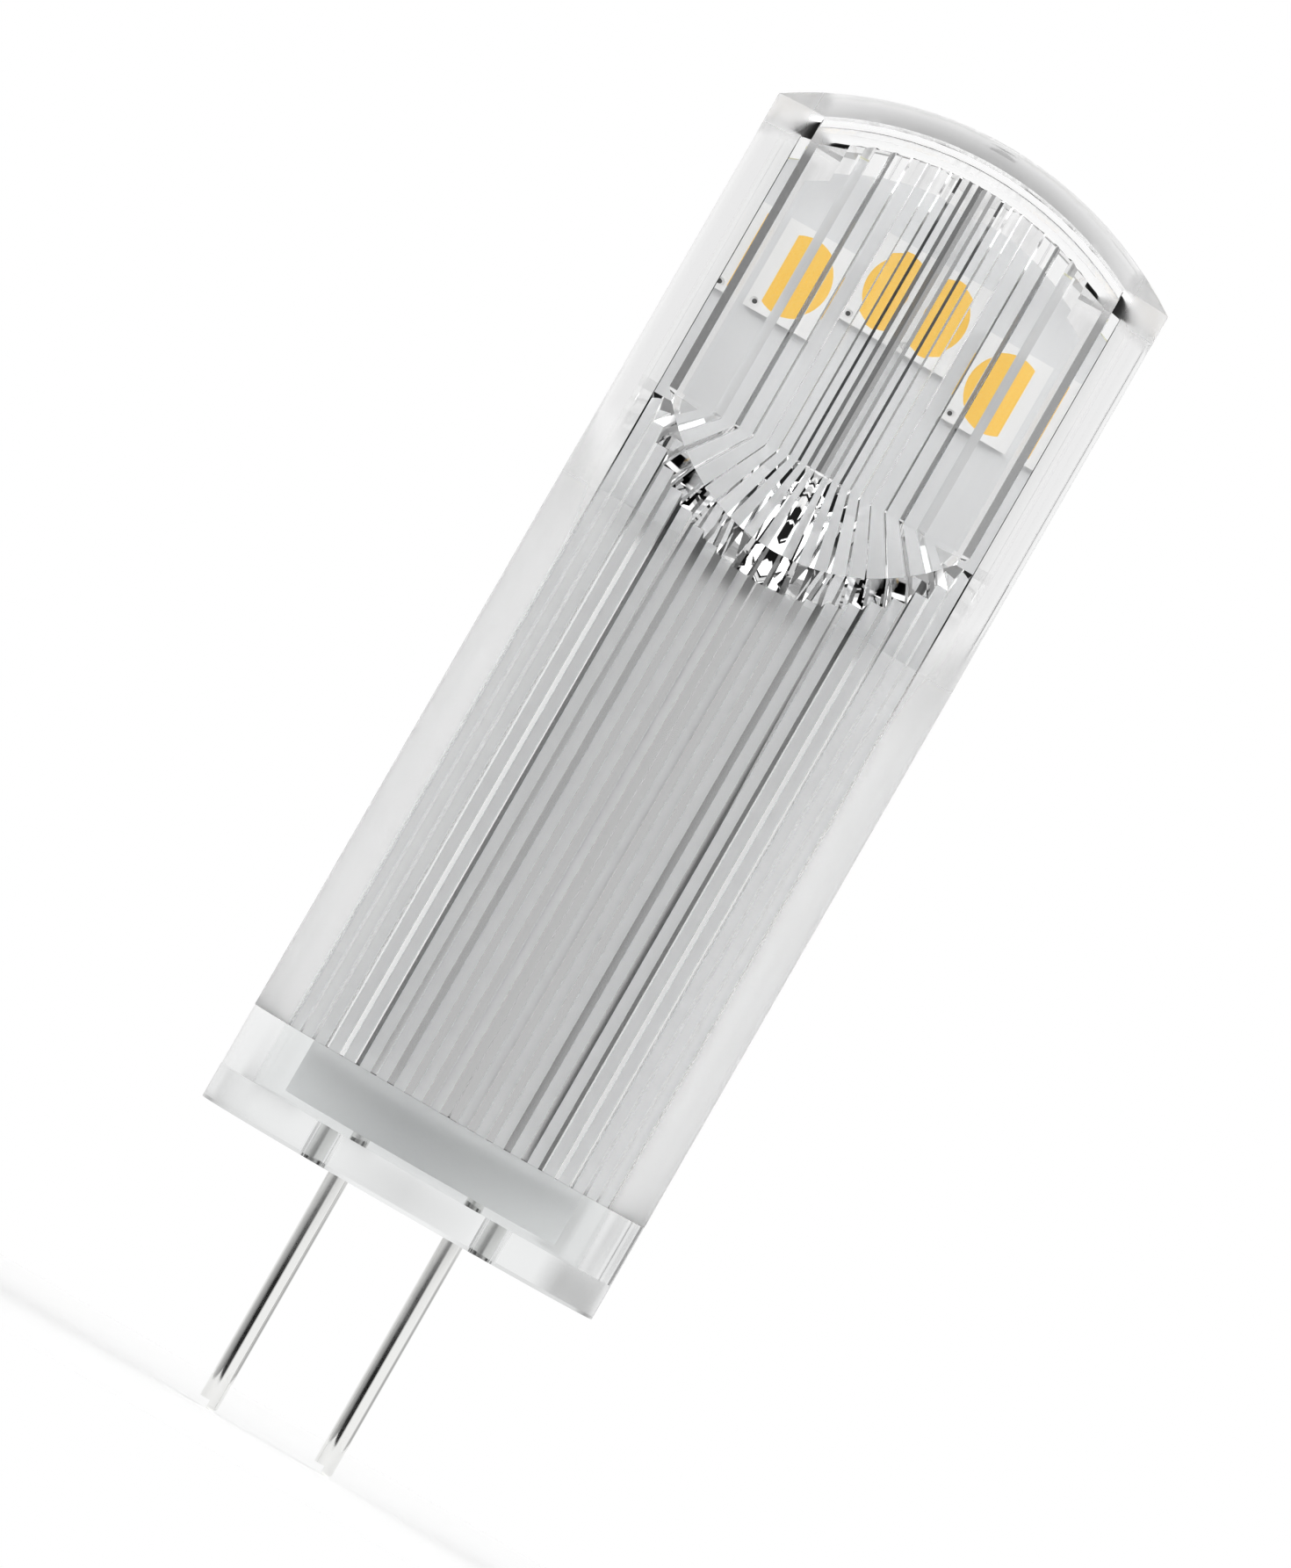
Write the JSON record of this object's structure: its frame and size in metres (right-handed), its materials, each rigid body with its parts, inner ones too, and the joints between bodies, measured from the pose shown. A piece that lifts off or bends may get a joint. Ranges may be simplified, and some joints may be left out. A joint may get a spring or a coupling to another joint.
{
  "type": "led capsule lamp",
  "caption": "Clear two-pin LED capsule lamp: fluted domed cover with flat windows over a board of warm LEDs, on a clear base with straight wire pins.",
  "frame": {"origin": "middle of the base's lower face, midway between the two pins", "axes": "+Z along the lamp towards the dome, X along the row of pins, -Y towards the front window"},
  "size_m": [0.0136, 0.0136, 0.0453],
  "materials": {
    "clear_acrylic": "clear, moulded, glossy",
    "tinned_wire": "drawn and tinned",
    "white_sleeve": "moulded, satin",
    "white_solder_mask": "coated, satin",
    "led_package": "moulded, satin",
    "phosphor_silicone": "cast, soft gloss",
    "solder": "reflowed, satin",
    "black_epoxy": "moulded, matt",
    "ferrite": "sintered, matt",
    "copper_wire": "enamelled wire",
    "chip_ceramic": "fired, matt",
    "chip_resistor": "glazed"
  },
  "bodies": {
    "root": {"base_plug": "clear_acrylic", "bridge_rectifier": "black_epoxy", "clear_cover": "clear_acrylic", "contact_pin_left": "tinned_wire", "contact_pin_right": "tinned_wire", "driver_ic": "black_epoxy", "driver_sleeve": "white_sleeve", "feedback_resistor": "chip_resistor", "freewheel_diode": "black_epoxy", "inductor_winding": "copper_wire", "input_capacitor": "chip_ceramic", "lamp_board": "white_solder_mask", "led_body_back_centre": "led_package", "led_body_back_left": "led_package", "led_body_back_right": "led_package", "led_body_front_centre": "led_package", "led_body_front_left": "led_package", "led_body_front_right": "led_package", "output_capacitor": "chip_ceramic", "phosphor_back_centre": "phosphor_silicone", "phosphor_back_left": "phosphor_silicone", "phosphor_back_right": "phosphor_silicone", "phosphor_front_centre": "phosphor_silicone", "phosphor_front_left": "phosphor_silicone", "phosphor_front_right": "phosphor_silicone", "power_inductor": "ferrite", "sense_resistor": "chip_resistor", "solder_joint_left": "solder", "solder_joint_right": "solder"}
  },
  "joints": []
}
